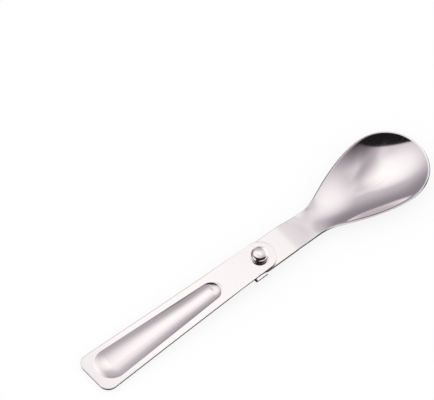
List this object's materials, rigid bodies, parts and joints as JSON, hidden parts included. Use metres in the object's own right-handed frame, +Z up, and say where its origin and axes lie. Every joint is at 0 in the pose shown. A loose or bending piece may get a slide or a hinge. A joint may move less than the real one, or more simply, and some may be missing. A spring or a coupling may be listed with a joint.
{
  "type": "folding spoon",
  "caption": "Steel camping spoon whose bowl half and handle are joined by a domed rivet, so that the handle folds sideways over the bowl.",
  "frame": {"origin": "on the rivet's axis, at the flat underside of its peened tail", "axes": "+X runs along the spoon to the tip of the bowl, +Y is the side that the handle folds through, +Z is up, the way the bowl opens"},
  "size_m": [0.1652, 0.034, 0.0111],
  "materials": {
    "polished_sheet": "polished stainless sheet",
    "rivet_steel": "polished stainless",
    "washer_steel": "satin"
  },
  "bodies": {
    "bowl_side": {"bowl_half": "polished_sheet", "rivet": "rivet_steel", "friction_washer": "washer_steel"},
    "handle_side": {"handle": "polished_sheet"}
  },
  "joints": [
    {"name": "handle_fold", "type": "hinge", "parent": "bowl_side", "child": "handle_side", "pos_m": [0, 0, 0.00269], "axis": [0, 0, -1], "range_deg": [0, 180]}
  ]
}
